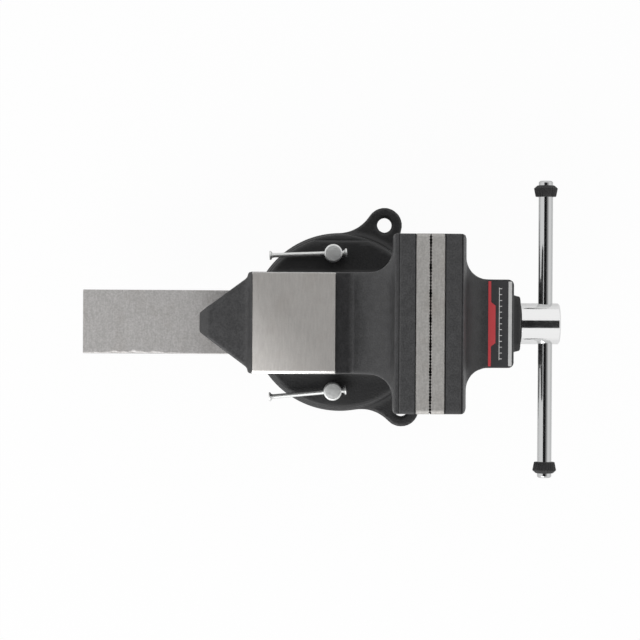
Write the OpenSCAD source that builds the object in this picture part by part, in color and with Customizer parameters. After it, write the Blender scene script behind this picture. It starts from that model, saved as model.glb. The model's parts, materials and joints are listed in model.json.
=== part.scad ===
// Swivel bench vise with a square slide, drawn closed and bolted down.
// The origin is the swivel axis at bench height. +X runs along the slide towards the
// handle, +Y runs across the jaws and +Z is up. Lengths are in millimetres.

/* [Jaws] */
// Width of both jaws
jaw_w = 150; // [130:1:165]
// Distance that the moving jaw opens
jaw_travel = 150; // [80:1:150]
// Swivel axis to the line where the jaws meet
jaw_line = 73.6; // [72:0.1:78]
// Gap between the closed jaw plates
jaw_gap = 0.4; // [0.2:0.1:1.5]
// Height of the jaw tops above the bench
jaw_top = 190; // [184:1:200]
// Thickness of the fixed jaw casting at its top
fixed_jaw_t = 18; // [15:0.5:22]
// Thickness of the moving jaw casting at its top
moving_jaw_t = 15.7; // [13:0.1:20]
// How far the moving jaw's foot stands out beyond its top
jaw_draft = 4.6; // [2:0.1:4.6]
// Depth of the jaw wings at their ends
wing_h = 44; // [41:1:48]
// Hollow corner between a jaw wing and the casting behind it
wing_fillet = 20; // [12:1:24]
// Thickness of a jaw plate
plate_t = 11.8; // [9.5:0.1:13]
// Height of a jaw plate
plate_h = 38; // [30:1:40]
// How far the casting below a plate stands back from the plate's face
plate_setback = 2.2; // [1:0.1:4]
// Bevel along the edges of a jaw plate
plate_bevel = 1; // [0.5:0.1:2]

/* [Jaw plate screws] */
// Distance between the two screws of a plate
screw_pitch = 90; // [60:1:104]
// Thread diameter of a plate screw
screw_d = 8; // [5:1:8]
// Head diameter of a plate screw
screw_head_d = 13; // [10:0.5:14]
// Head height of a plate screw
screw_head_h = 5; // [3:0.5:6]
// How deep the head lies below the plate's face
screw_sink = 1.3; // [0.5:0.1:2]
// Length of a screw's shank
screw_l = 16; // [12:1:17]
// Width across the flats of the screw's socket
socket_w = 5; // [3:0.5:6]
// Depth of the screw's socket
socket_h = 3; // [1.5:0.5:3.5]

/* [Slide] */
// Slide bar's tail to the line where the jaws meet
bar_l = 295.8; // [280:0.1:320]
// Width of the slide bar
bar_w = 55; // [52:0.5:60]
// Height of the slide bar
bar_h = 50; // [48:0.5:51]
// Height of the slide bar's top above the bench
bar_top = 118; // [117:0.5:121]
// Side walls of the slide bar's channel
bar_wall = 9; // [8:0.5:9.5]
// Roof of the slide bar's channel
bar_roof = 9; // [7:0.5:9]
// Play between the slide bar and the body
slide_play = 0.3; // [0.2:0.05:0.5]

/* [Body] */
// Width of the body casting
body_w = 86; // [82:0.5:94]
// Swivel axis to the back of the body
body_back = 79; // [76:0.5:84]
// Height of the casting's deck, below the anvil face
deck_z = 160; // [156:0.5:163]
// Radius of the swivel plate
plate_r = 77; // [75:0.5:79]
// Thickness of the swivel plate
swivel_t = 14; // [11:0.5:15]
// Swivel axis to the flat on the plate's rim
rim_flat = 72.9; // [70:0.1:77]
// Rounding of the plate's top rim
rim_round = 2.5; // [1:0.5:4]
// Diameter of the pivot under the body
pivot_d = 40; // [36:1:42]

/* [Anvil and horn] */
// Height of the anvil face above the bench
anvil_top = 165; // [163.5:0.5:172]
// Length of the anvil face
anvil_l = 70; // [60:0.5:72]
// Width of the anvil face
anvil_w = 83; // [70:0.5:85]
// Anvil's front edge behind the swivel axis
anvil_front = 5.1; // [3:0.1:7]
// Length of the horn behind the body
horn_l = 41; // [30:0.5:50]
// Width of the horn where it leaves the body
horn_root_w = 76.7; // [60:0.1:80]
// Width of the horn's tip
horn_tip_w = 16.4; // [10:0.1:24]
// Height of the horn's tip face
horn_tip_h = 10; // [6:0.5:14]
// Length of the bevel on the horn's tip
horn_bevel = 7; // [3:0.5:9]

/* [Moving jaw neck] */
// Jaw line to the front of the neck
neck_front = 74.7; // [72:0.1:80]
// Width of the neck
neck_w = 76; // [72:0.5:80]
// Height of the neck's top above the bench
neck_top = 130; // [128:0.5:134]
// Height of the neck's underside above the bench
neck_low = 58; // [54:0.5:60]
// Thickness of the neck's front wall
neck_wall = 18.3; // [14:0.1:20]
// Hollow corner where the jaw runs down to the neck
neck_fillet = 20; // [16:1:20]
// Rounding of the neck's front corners
neck_round = 5; // [2:0.5:7]
// Rounding of the neck's front edges, above and below
neck_edge = 2; // [1:0.5:2]
// Width of the square boss around the spindle, at its front
boss_w = 47; // [42:0.5:54]
// Length of the boss
boss_l = 7; // [4:0.5:10]
// Draft of the boss on each side
boss_draft = 1.2; // [0.5:0.1:2]
// Flat cut off each corner of the boss
boss_corner = 8; // [4:0.5:11]

/* [Spindle] */
// Outer diameter of the lead screw's thread
spindle_d = 24; // [20:0.5:24]
// Pitch of the lead screw's thread
thread_pitch = 5; // [4:0.5:6]
// Depth of the thread
thread_h = 2.6; // [1.5:0.1:3]
// Length of the plain journal behind the spindle head
journal_l = 66; // [64:1:70]
// Diameter of the spindle head
head_d = 35.8; // [32:0.1:40]
// Length of the spindle head
head_l = 35; // [28:0.5:40]
// Bevel of the spindle head
head_bevel = 1.2; // [0.5:0.1:2]
// Handle's axis to the front of the spindle head
handle_back = 12.1; // [9:0.1:16]
// Length of the nut
nut_l = 48; // [40:1:50]
// Swivel axis to the back of the nut
nut_back = 16; // [14:0.5:18]
// Height of the nut above the spindle's axis
nut_over = 14; // [13.5:0.5:15]
// Thread diameter of the nut's bolts
nut_bolt_d = 8; // [6:1:8]
// Head diameter of the nut's bolts
nut_bolt_head_d = 13; // [10:0.5:13]
// Head height of the nut's bolts
nut_bolt_head_h = 8; // [5:0.5:8]
// Distance between the nut's bolts
nut_bolt_pitch = 22; // [20:1:26]

/* [Spindle retainer] */
// Diameter of the collar pinned on the spindle
collar_d = 31; // [28:0.5:31]
// Width of the collar
collar_l = 11; // [8:0.5:12]
// Diameter of the pin through the collar
pin_d = 5; // [3:0.5:6]
// Thickness of the washers on the spindle
washer_t = 2.5; // [1.5:0.1:3]
// Diameter of the thrust washer in the boss
thrust_d = 34; // [30:0.5:35]
// Wire of the take-up spring
spring_wire = 2.4; // [1.5:0.1:2.4]
// Length of the take-up spring
spring_l = 22; // [18:0.5:24]
// Coils of the take-up spring
spring_coils = 5; // [3:1:6]

/* [Handle] */
// Diameter of the handle bar
handle_d = 12.5; // [10:0.1:13]
// Length of the handle bar
handle_l = 259; // [200:1:280]
// How far the handle has slid through the head
handle_offset = -4.9; // [-40:0.1:40]
// Diameter of a stop ring at its bead
ring_d = 20.8; // [18:0.1:26]
// Diameter of a stop ring at its inner end
ring_inner_d = 18.8; // [16:0.1:24]
// Length of a stop ring
ring_l = 9.8; // [7:0.1:14]
// Length of bar beyond a stop ring
handle_tip = 4; // [2:0.5:8]

/* [Base] */
// Radius of the foot
base_r = 81; // [80:0.5:88]
// How much narrower the base is above the foot
base_draft = 1.6; // [1:0.1:3]
// Height of the base, up to its turning face
base_h = 38; // [36:0.5:42]
// Thickness of the foot and its ears
foot_t = 12; // [9:0.5:13]
// Number of ears
ear_count = 3; // [3:1:4]
// Diameter of the bench bolts' circle
bench_circle = 194; // [190:1:206]
// Diameter of a bench bolt hole
bench_hole = 13.5; // [9:0.5:17]
// Radius of an ear around its hole
ear_r = 16; // [13:0.5:19]
// Hollow corner between an ear and the foot
ear_fillet = 34; // [12:1:40]
// Turn of the base under the vise, in degrees
base_turn = 5.5; // [0:0.5:60]
// Radius of the hollow under the base
hollow_r = 66; // [60:0.5:68]
// Depth of the hollow under the base
hollow_h = 14; // [13.5:0.5:15]
// Thickness of the pivot washer
pivot_washer_t = 4; // [3:0.5:4]
// Diameter of the pivot washer
pivot_washer_d = 54; // [48:1:60]
// Thread diameter of the pivot bolt
pivot_bolt_d = 12; // [8:1:14]
// Width across the flats of the pivot bolt's head
pivot_hex = 18; // [13:1:21]
// Height of the pivot bolt's head
pivot_head_h = 7.5; // [5:0.5:8]
// Length of the pivot bolt's shank
pivot_bolt_l = 30; // [20:1:34]

/* [Swivel lock] */
// Diameter of the lock bolts' circle
lock_circle = 123.2; // [120:0.2:126]
// Angle from the front to each lock bolt, in degrees
lock_angle = 96; // [88:1:110]
// Thread diameter of a lock bolt
lock_d = 10; // [8:0.5:10]
// Width of the ring slot in the base's top
slot_w = 11; // [10.6:0.1:12]
// Metal over the ring slot's room
slot_roof = 8; // [7:0.5:9]
// Width of the ring slot's room
room_w = 21; // [20:0.5:23]
// Height of the ring slot's room
room_h = 10; // [9.5:0.5:10]
// Width of a slot nut
slot_nut_w = 18; // [15:0.5:18]
// Length of a slot nut
slot_nut_l = 22; // [16:0.5:22]
// Height of a slot nut
slot_nut_h = 8; // [6:0.5:9]
// Diameter of a lock bolt's head
lock_head_d = 16; // [14:0.5:20]
// Height of a lock bolt's head
lock_head_h = 16; // [12:0.5:20]
// Diameter of a lock bar
lock_bar_d = 4; // [3:0.5:5]
// Length of a lock bar
lock_bar_l = 69; // [50:1:80]
// Diameter of a lock bar's ends
lock_end_d = 8.1; // [6:0.1:10]
// Length of a lock bar's ends
lock_end_l = 3.8; // [2:0.1:5]
// Turn of the right lock bar, in degrees
right_bar_turn = 2.2; // [0:0.1:10]
// Turn of the left lock bar, in degrees
left_bar_turn = 5.3; // [0:0.1:10]

/* [Label] */
// Length of the label along the vise
label_l = 20.4; // [14:0.1:20.4]
// Width of the label across the neck
label_w = 74; // [40:1:75]
// Thickness of the label
label_t = 0.5; // [0.3:0.1:1]
// Corner radius of the label
label_round = 1.5; // [0.5:0.5:4]

/* [Hidden] */

$fn = 96;

paint = "#4a4b4c";
ground = "#a8a5a1";
chrome = "#d8dadc";
zinc = "#b9bab6";
steel = "#77797b";
black = "#1b1b1c";

// Clearances: a running shaft, a seated face, a loose hole, and a cut's overrun.
run = 0.05;
seat = 0.3;
loose = 0.4;
cut = 1;

// Edge bevels of small turned parts, and the arcs' number of steps
edge = 0.8;
steps = 12;

// Heights that several pieces share
swivel_z = base_h + swivel_t;
axis_z = bar_top - bar_h / 2;
bar_low = bar_top - bar_h;
plate_z = jaw_top - plate_h;
hub_z = hollow_h;
room_top = base_h - slot_roof;

// Places along the vise
fixed_face = jaw_line - jaw_gap / 2;
moving_face = jaw_line + jaw_gap / 2;
fixed_seat = fixed_face - plate_t;
moving_seat = moving_face + plate_t;
fixed_front = fixed_face - plate_setback;
moving_back = moving_face + plate_setback;
neck_x = jaw_line + neck_front;
boss_x = neck_x + boss_l;
head_x = boss_x + seat;
handle_x = head_x + head_l - handle_back;
tail = jaw_line - bar_l;
wall_x = neck_x - neck_wall;

// How far a plate screw's hole goes into the casting behind the plate
screw_grip = screw_l + screw_head_h + screw_sink - plate_t + loose;

// Points on an arc from angle a to angle b
function arc(c, r, a, b) = [
    for (i = [0 : steps]) c + r * [cos(a + (b - a) * i / steps), sin(a + (b - a) * i / steps)]
];

// The same without its first point, to carry an outline on
function arc_on(c, r, a, b) = [for (i = [1 : steps]) arc(c, r, a, b)[i]];

// A half outline and its mirror image across the X axis, as one closed outline
function both_sides(half) = concat(
    half,
    [for (i = [len(half) - 1 : -1 : 0]) if (half[i][1] != 0) [half[i][0], -half[i][1]]]
);

// A half outline and its mirror image across the Y axis
function left_right(half) = concat(
    half,
    [for (i = [len(half) - 1 : -1 : 0]) if (half[i][0] != 0) [-half[i][0], half[i][1]]]
);

// Outlines: from above along Z, from the side along Y, from the front along X
module seen_from_above(outline, low, high) {
    translate([0, 0, low]) linear_extrude(high - low) polygon(outline);
}

module seen_from_side(outline, width) {
    rotate([90, 0, 0]) linear_extrude(width, center = true) polygon(outline);
}

module seen_from_front(outline, back, front) {
    translate([back, 0, 0]) rotate([90, 0, 90]) linear_extrude(front - back) polygon(outline);
}

// A turned piece: points are [distance along X, radius], closed on the axis
module turned_x(points) {
    rotate([90, 0, 90]) rotate_extrude() polygon([for (p = points) [p[1], p[0]]]);
}

module turned_z(points) {
    rotate_extrude() polygon([for (p = points) [p[1], p[0]]]);
}

// A round bar with bevelled ends along X, from x = 0
module bevelled_bar(length, r, bevel) {
    turned_x([[0, 0], [0, r - bevel], [bevel, r], [length - bevel, r], [length, r - bevel], [length, 0]]);
}

// A round hole along X, from a to b
module bore_x(a, b, r) {
    translate([a, 0, 0]) rotate([0, 90, 0]) cylinder(h = b - a, r = r);
}

// The two places of a jaw plate's screws
module at_plate_screws() {
    for (side = [-1, 1])
        translate([0, side * screw_pitch / 2, plate_z + plate_h / 2]) children();
}

// The two places of the nut's bolts
module at_nut_bolts() {
    for (side = [-1, 1])
        translate([nut_back + nut_l / 2 + side * nut_bolt_pitch / 2, 0, 0]) children();
}

// A lock bolt's place: side is 1 at the right and -1 at the left
module at_lock(side) {
    rotate([0, 0, side * lock_angle]) translate([lock_circle / 2, 0, 0])
        rotate([0, 0, -side * lock_angle]) children();
}

// Angle from the front to the first ear, before the base is turned
first_ear = 60;

// Base: a round foot with ears, a drum with a ring slot, and a hollow underside

// Centre of the hollow corner beside an ear, found from its distances to foot and ear
ear_x = bench_circle / 2;
corner_x = (pow(base_r + ear_fillet, 2) - pow(ear_r + ear_fillet, 2) + ear_x * ear_x) / (2 * ear_x);
corner_y = sqrt(pow(base_r + ear_fillet, 2) - corner_x * corner_x);
foot_angle = atan2(corner_y, corner_x);
tip_angle = atan2(corner_y, corner_x - ear_x);

// One ear with its share of the foot's rim, pointing along +X
ear_part = concat(
    arc([0, 0], base_r, -180 / ear_count, -foot_angle),
    arc_on([corner_x, -corner_y], ear_fillet, 180 - foot_angle, 180 - tip_angle),
    arc_on([ear_x, 0], ear_r, -tip_angle, tip_angle),
    arc_on([corner_x, corner_y], ear_fillet, 180 + tip_angle, 180 + foot_angle),
    arc_on([0, 0], base_r, foot_angle, 180 / ear_count)
);
foot_outline = [
    for (i = [0 : ear_count - 1], k = [1 : len(ear_part) - 1])
        let (p = ear_part[k], t = first_ear + i * 360 / ear_count)
            [p[0] * cos(t) - p[1] * sin(t), p[0] * sin(t) + p[1] * cos(t)]
];

module base() {
    color(paint) rotate([0, 0, base_turn]) difference() {
        union() {
            seen_from_above(foot_outline, 0, foot_t);
            turned_z([
                [foot_t - cut, 0], [foot_t - cut, base_r - base_draft],
                [base_h - edge, base_r - base_draft - edge],
                [base_h, base_r - base_draft - 2 * edge], [base_h, 0]
            ]);
        }
        translate([0, 0, -cut]) cylinder(h = base_h + 2 * cut, r = pivot_d / 2 + run);
        translate([0, 0, -cut]) cylinder(h = hollow_h + cut, r = hollow_r);
        ring_room(room_top - room_h, room_top, room_w);
        ring_room(room_top - cut, base_h + cut, slot_w);
        for (i = [0 : ear_count - 1])
            rotate([0, 0, first_ear + i * 360 / ear_count]) translate([ear_x, 0, -cut])
                cylinder(h = foot_t + 2 * cut, d = bench_hole);
    }
}

module ring_room(low, high, width) {
    difference() {
        translate([0, 0, low]) cylinder(h = high - low, r = lock_circle / 2 + width / 2);
        translate([0, 0, low - cut])
            cylinder(h = high - low + 2 * cut, r = lock_circle / 2 - width / 2);
    }
}

module pivot_washer() {
    color(zinc) translate([0, 0, hub_z - seat - pivot_washer_t]) difference() {
        cylinder(h = pivot_washer_t, d = pivot_washer_d);
        translate([0, 0, -cut])
            cylinder(h = pivot_washer_t + 2 * cut, d = pivot_bolt_d + 2 * seat);
    }
}

module pivot_bolt() {
    head_z = hub_z - seat - pivot_washer_t - pivot_head_h;
    color(steel) union() {
        translate([0, 0, head_z])
            cylinder(h = pivot_head_h, d = pivot_hex / cos(30), $fn = 6);
        translate([0, 0, head_z]) cylinder(h = pivot_head_h + pivot_bolt_l, d = pivot_bolt_d);
    }
}

// Body: swivel plate and pivot, the upright with its slide tunnel, fixed jaw, anvil and horn

tunnel_back = body_back - plate_setback - edge;
foot_back = plate_r - swivel_t;
wing_z = jaw_top - wing_h;
gusset = (jaw_w - body_w) / 2;
valley_z = deck_z - bar_roof;
valley_x = anvil_front + rim_round;
jaw_back = fixed_seat - fixed_jaw_t;

// Side outline of the upright, fixed jaw and deck
function body_side() = concat(
    [
        [-foot_back, base_h], [-foot_back, swivel_z], [-tunnel_back, bar_low - bar_wall],
        [-tunnel_back, bar_top + bar_wall], [-body_back, bar_top + 2 * bar_wall],
        [-body_back, deck_z], [-anvil_front + edge, deck_z], [valley_x, valley_z],
        [valley_x + rim_round, valley_z]
    ],
    arc([jaw_back - wing_fillet, jaw_top - edge], wing_fillet, -45, 0),
    [
        [jaw_back + edge, jaw_top], [fixed_seat, jaw_top], [fixed_seat, plate_z],
        [fixed_front, plate_z], [fixed_front, bar_low - bar_wall], [foot_back, swivel_z],
        [foot_back, base_h]
    ]
);

// Plan of the upright, which flares into the jaw's wings
function body_plan() = both_sides(concat(
    [[-body_back, 0], [-body_back, body_w / 2 - rim_round], [-body_back + rim_round, body_w / 2]],
    arc([jaw_back - wing_fillet, body_w / 2 + wing_fillet], wing_fillet, -90, 0),
    [
        [jaw_back, jaw_w / 2 - edge], [jaw_back + edge, jaw_w / 2],
        [fixed_front + cut, jaw_w / 2], [fixed_front + cut, 0]
    ]
));

// Height of a wing's gusset, and run of the anvil's back slope, as shares of their widths
gusset_share = 0.8;
slope_share = 0.8;

// Front outline: straight sides, then gussets that carry the wings
function wing_front(low, half_w) = left_right([
    [0, low], [half_w, low], [half_w, wing_z - gusset * gusset_share],
    [jaw_w / 2 - edge, wing_z], [jaw_w / 2, wing_z + edge],
    [jaw_w / 2, jaw_top + cut], [0, jaw_top + cut]
]);

module anvil_pad() {
    run_back = (anvil_top - deck_z) * slope_share;
    outline = [
        [-anvil_front - anvil_l - run_back, deck_z - cut], [-anvil_front + edge, deck_z - cut],
        [-anvil_front, deck_z], [-anvil_front, anvil_top - edge], [-anvil_front - edge, anvil_top],
        [-anvil_front - anvil_l, anvil_top], [-anvil_front - anvil_l - run_back, deck_z]
    ];
    half = anvil_w / 2;
    intersection() {
        seen_from_side(outline, body_w);
        seen_from_front(left_right([
            [0, deck_z - cut], [half + edge, deck_z - cut], [half + edge, deck_z],
            [half, anvil_top - edge], [half - edge, anvil_top], [0, anvil_top]
        ]), -body_back - cut, 0);
    }
}

module horn() {
    tip = -body_back - horn_l;
    top = deck_z - edge;
    intersection() {
        seen_from_above(both_sides([
            [tip, 0], [tip, horn_tip_w / 2], [-body_back, horn_root_w / 2],
            [-body_back + swivel_t, horn_root_w / 2], [-body_back + swivel_t, 0]
        ]), bar_top, deck_z);
        seen_from_side([
            [tip, top - horn_bevel - horn_tip_h], [tip, top - horn_bevel],
            [tip + horn_bevel, top], [-body_back + swivel_t, top],
            [-body_back + swivel_t, bar_top + bar_wall], [-body_back, bar_top + bar_wall]
        ], body_w);
    }
}

module swivel_plate() {
    intersection() {
        turned_z([
            [base_h, 0], [base_h, plate_r], [swivel_z - rim_round, plate_r],
            [swivel_z - rim_round / 3, plate_r - rim_round / 3],
            [swivel_z, plate_r - rim_round], [swivel_z, 0]
        ]);
        translate([-2 * plate_r, rim_flat - 4 * plate_r, 0])
            cube([4 * plate_r, 4 * plate_r, swivel_z + cut]);
    }
}

module body() {
    tunnel_w = bar_w + 2 * slide_play;
    tunnel_h = bar_h + 2 * slide_play;
    color(paint) difference() {
        union() {
            swivel_plate();
            intersection() {
                seen_from_side(body_side(), jaw_w + cut);
                seen_from_above(body_plan(), base_h, jaw_top + cut);
                seen_from_front(wing_front(base_h, body_w / 2), -body_back - cut, fixed_front);
            }
            anvil_pad();
            horn();
            translate([0, 0, hub_z - seat]) cylinder(h = base_h - hub_z + cut, d = pivot_d);
        }
        translate([-body_back - cut, -tunnel_w / 2, bar_low - slide_play])
            cube([body_back + fixed_front + 2 * cut, tunnel_w, tunnel_h]);
        for (side = [-1, 1])
            at_lock(side) translate([0, 0, base_h - cut])
                cylinder(h = swivel_t + 2 * cut, d = lock_d + 2 * seat);
        at_nut_bolts() nut_bolt_room();
        at_plate_screws() bore_x(fixed_seat - screw_grip, fixed_seat + cut, screw_d / 2 + run);
        translate([0, 0, hub_z - seat - cut])
            cylinder(h = pivot_bolt_l + cut, d = pivot_bolt_d + 2 * run);
    }
}

// Room for a nut bolt, sunk into the plate's underside
module nut_bolt_room() {
    translate([0, 0, base_h - cut])
        cylinder(h = nut_bolt_head_h + seat + cut, d = nut_bolt_head_d + 2 * seat);
    translate([0, 0, base_h]) cylinder(h = bar_low - base_h, d = nut_bolt_d + 2 * seat);
}

// Moving jaw: jaw, neck and slide bar in one casting

function jaw_side() = concat(
    [
        [moving_back, neck_low + edge], [moving_back, plate_z], [moving_seat, plate_z],
        [moving_seat, jaw_top], [moving_seat + moving_jaw_t - edge, jaw_top],
        [moving_seat + moving_jaw_t, jaw_top - edge]
    ],
    arc([jaw_foot + neck_fillet, neck_top + neck_fillet], neck_fillet, 180, 270),
    arc([neck_x - neck_edge, neck_top - neck_edge], neck_edge, 90, 0),
    arc([neck_x - neck_edge, neck_low + neck_edge], neck_edge, 0, -90),
    [[moving_back + edge, neck_low]]
);

// The jaw widens from its top down to where the neck begins, and its ends are bevelled there
wing_draft = 3 * edge;
jaw_foot = moving_seat + moving_jaw_t + jaw_draft;

function jaw_plan() = both_sides(concat(
    [
        [moving_back - cut, 0], [moving_back - cut, jaw_w / 2],
        [jaw_foot - wing_draft, jaw_w / 2], [jaw_foot, jaw_w / 2 - wing_draft]
    ],
    arc([jaw_foot + wing_fillet, neck_w / 2 + wing_fillet], wing_fillet, 180, 270),
    arc([neck_x - neck_round, neck_w / 2 - neck_round], neck_round, 90, 0),
    [[neck_x, 0]]
));

// Square nose of the neck, narrower at its front, with its corners cut off
module boss() {
    front = boss_w / 2;
    root = front + boss_draft;
    flat = root - boss_corner;
    sides = both_sides([
        [neck_x - cut, 0], [neck_x - cut, root], [neck_x, root], [boss_x, front], [boss_x, 0]
    ]);
    intersection() {
        seen_from_above(sides, axis_z - root, axis_z + root);
        translate([0, 0, axis_z]) seen_from_side(sides, 2 * root);
        translate([0, 0, axis_z]) seen_from_front(left_right([
            [0, -root], [flat, -root], [root, -flat], [root, flat], [flat, root], [0, root]
        ]), neck_x - cut, boss_x);
    }
}

module moving_jaw() {
    channel_w = bar_w - 2 * bar_wall;
    roof = bar_top - bar_roof;
    color(paint) difference() {
        union() {
            intersection() {
                seen_from_side(jaw_side(), jaw_w + cut);
                seen_from_above(jaw_plan(), neck_low, jaw_top + cut);
                seen_from_front(wing_front(neck_low, neck_w / 2), moving_back, neck_x + cut);
            }
            translate([tail, -bar_w / 2, bar_low]) cube([wall_x - tail, bar_w, bar_h]);
            boss();
        }
        translate([tail - cut, -channel_w / 2, bar_low - cut])
            cube([moving_back - tail + cut, channel_w, roof - bar_low + cut]);
        translate([moving_back - cut, -channel_w / 2, bar_low])
            cube([wall_x - moving_back + cut, channel_w, roof - bar_low]);
        translate([0, 0, axis_z]) bore_x(wall_x - cut, boss_x + cut, spindle_d / 2 + run);
        translate([0, 0, axis_z]) bore_x(boss_x - washer_t, boss_x + cut, thrust_d / 2 + seat);
        at_plate_screws() bore_x(moving_seat - cut, moving_seat + screw_grip, screw_d / 2 + run);
    }
}

// Jaw plates: the gripping face looks along +X on the fixed jaw, turned round on the moving one
module jaw_plate() {
    difference() {
        intersection() {
            seen_from_side([
                [-plate_t, plate_z], [-plate_bevel, plate_z], [0, plate_z + plate_bevel],
                [0, jaw_top - plate_bevel], [-plate_bevel, jaw_top], [-plate_t, jaw_top]
            ], jaw_w);
            seen_from_above(both_sides([
                [-plate_t, 0], [-plate_t, jaw_w / 2], [-plate_bevel, jaw_w / 2],
                [0, jaw_w / 2 - plate_bevel], [0, 0]
            ]), plate_z - cut, jaw_top + cut);
        }
        at_plate_screws() {
            bore_x(-plate_t - cut, cut, screw_d / 2 + seat);
            bore_x(-screw_sink - screw_head_h, cut, screw_head_d / 2 + seat);
        }
    }
}

module plate_screw() {
    difference() {
        union() {
            bore_x(-screw_sink - screw_head_h, -screw_sink, screw_head_d / 2);
            bore_x(-screw_sink - screw_head_h - screw_l, -screw_sink - cut, screw_d / 2);
        }
        translate([-screw_sink - socket_h, 0, 0]) rotate([0, 90, 0])
            cylinder(h = socket_h + cut, d = socket_w / cos(30), $fn = 6);
    }
}

module fixed_jaw_plate() {
    color(ground) translate([fixed_face, 0, 0]) jaw_plate();
}

module moving_jaw_plate() {
    color(ground) translate([moving_face, 0, 0]) rotate([0, 0, 180]) jaw_plate();
}

module fixed_plate_screws() {
    color(steel) translate([fixed_face, 0, 0]) at_plate_screws() plate_screw();
}

module moving_plate_screws() {
    color(steel) translate([moving_face, 0, 0]) rotate([0, 0, 180])
        at_plate_screws() plate_screw();
}

// Spindle: threaded screw, plain journal and cross-drilled head.
// The thread is drawn as rings at its true pitch.

thread_start = nut_back - jaw_travel - thread_pitch;
thread_end = head_x - journal_l;
turns = floor((thread_end - thread_start) / thread_pitch);

// One ring of thread: root, flank, crest, flank
function thread_ring(x) = [
    for (s = thread_shares) [x + s[0] * thread_pitch, spindle_d / 2 - s[1] * thread_h]
];

// Along the pitch, and below the crest, as shares of the pitch and of the thread's depth
thread_shares = [[0, 1], [0.33, 1], [0.46, 0], [0.83, 0], [0.96, 1]];

module spindle() {
    r = spindle_d / 2;
    color(chrome) difference() {
        union() {
            translate([0, 0, axis_z]) turned_x(concat(
                [[thread_start - edge, 0], [thread_start - edge, r - thread_h - edge]],
                [for (i = [0 : turns - 1]) each thread_ring(thread_start + i * thread_pitch)],
                [
                    [thread_start + turns * thread_pitch, r - thread_h],
                    [thread_start + turns * thread_pitch + edge, r], [head_x, r],
                    [head_x, head_d / 2 - head_bevel], [head_x + head_bevel, head_d / 2],
                    [head_x + head_l - head_bevel, head_d / 2],
                    [head_x + head_l, head_d / 2 - head_bevel], [head_x + head_l, 0]
                ]
            ));
        }
        translate([handle_x, 0, axis_z]) rotate([90, 0, 0])
            cylinder(h = head_d + 2 * cut, r = handle_d / 2 + 2 * run, center = true);
        translate([collar_mid, 0, axis_z]) rotate([90, 0, 0])
            cylinder(h = spindle_d + 2 * cut, r = pin_d / 2 + run, center = true);
    }
}

module thrust_washer() {
    color(zinc) translate([0, 0, axis_z]) difference() {
        bore_x(boss_x - washer_t, boss_x, thrust_d / 2);
        bore_x(boss_x - washer_t - cut, boss_x + cut, spindle_d / 2 + seat);
    }
}

// Retainer behind the neck's wall: washer, spring, then the pinned collar
spring_front = wall_x - 2 * seat - washer_t;
collar_front = spring_front - spring_l - seat;
collar_mid = collar_front - collar_l / 2;

module spring_washer() {
    color(zinc) translate([0, 0, axis_z]) difference() {
        bore_x(wall_x - seat - washer_t, wall_x - seat, collar_d / 2);
        bore_x(wall_x - washer_t - cut, wall_x + cut, spindle_d / 2 + seat);
    }
}

module retaining_collar() {
    color(steel) difference() {
        translate([0, 0, axis_z]) bore_x(collar_front - collar_l, collar_front, collar_d / 2);
        translate([0, 0, axis_z])
            bore_x(collar_front - collar_l - cut, collar_front + cut, spindle_d / 2 + run);
        translate([collar_mid, 0, axis_z]) rotate([90, 0, 0])
            cylinder(h = collar_d + 2 * cut, r = pin_d / 2 + run, center = true);
    }
}

module collar_pin() {
    length = collar_d - 2 * edge;
    color(zinc) translate([collar_mid, length / 2, axis_z]) rotate([0, 0, -90])
        bevelled_bar(length, pin_d / 2, edge / 2);
}

// The spring is one wire wound round the spindle. Its points lie on a helix along X.
curl_steps = 12;
wire_sides = 6;
spring_r = (spindle_d + spring_wire) / 2 + 2 * loose;
spring_span = spring_l - spring_wire - 2 * seat;
spring_pts = [
    for (i = [0 : spring_coils * curl_steps])
        let (a = 360 * i / curl_steps, along = spring_span * i / (spring_coils * curl_steps))
            [collar_front + seat + spring_wire / 2 + along, spring_r * cos(a), spring_r * sin(a)]
];

// Least gap between neighbouring coils, measured on the points
spring_gap = min([
    for (i = [0 : len(spring_pts) - 1 - curl_steps])
        norm(spring_pts[i + curl_steps] - spring_pts[i]) - spring_wire
]);
echo(spring_gap = spring_gap);

// Ring of points round the wire: it stands radial and along X, square to the wind
function wire_ring(i) = [
    for (k = [0 : wire_sides - 1])
        let (
            a = 360 * i / curl_steps, b = 360 * k / wire_sides,
            out = [0, cos(a), sin(a)]
        )
            spring_pts[i] + spring_wire / 2 * (cos(b) * out + sin(b) * [1, 0, 0])
];

module take_up_spring() {
    n = len(spring_pts);
    points = [for (i = [0 : n - 1]) each wire_ring(i)];
    sides = [
        for (i = [0 : n - 2], k = [0 : wire_sides - 1])
            let (a = i * wire_sides + k, b = i * wire_sides + (k + 1) % wire_sides)
                each [[a, b, b + wire_sides], [a, b + wire_sides, a + wire_sides]]
    ];
    start = [for (k = [1 : wire_sides - 2]) [0, k + 1, k]];
    end = [
        for (k = [1 : wire_sides - 2])
            [(n - 1) * wire_sides, (n - 1) * wire_sides + k, (n - 1) * wire_sides + k + 1]
    ];
    color(steel) translate([0, 0, axis_z])
        polyhedron(points = points, faces = concat(sides, start, end));
}

// Nut: a block that stands on the tunnel's floor inside the slide bar's channel
module spindle_nut() {
    floor_z = bar_low - slide_play;
    width = bar_w - 2 * bar_wall - 2 * seat;
    height = axis_z + nut_over - floor_z;
    color(steel) difference() {
        translate([nut_back, -width / 2, floor_z]) cube([nut_l, width, height]);
        translate([0, 0, axis_z])
            bore_x(nut_back - cut, nut_back + nut_l + cut, spindle_d / 2 + loose);
        at_nut_bolts() translate([0, 0, floor_z - cut])
            cylinder(h = nut_bolt_grip + cut, d = nut_bolt_d + 2 * run);
    }
}

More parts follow.
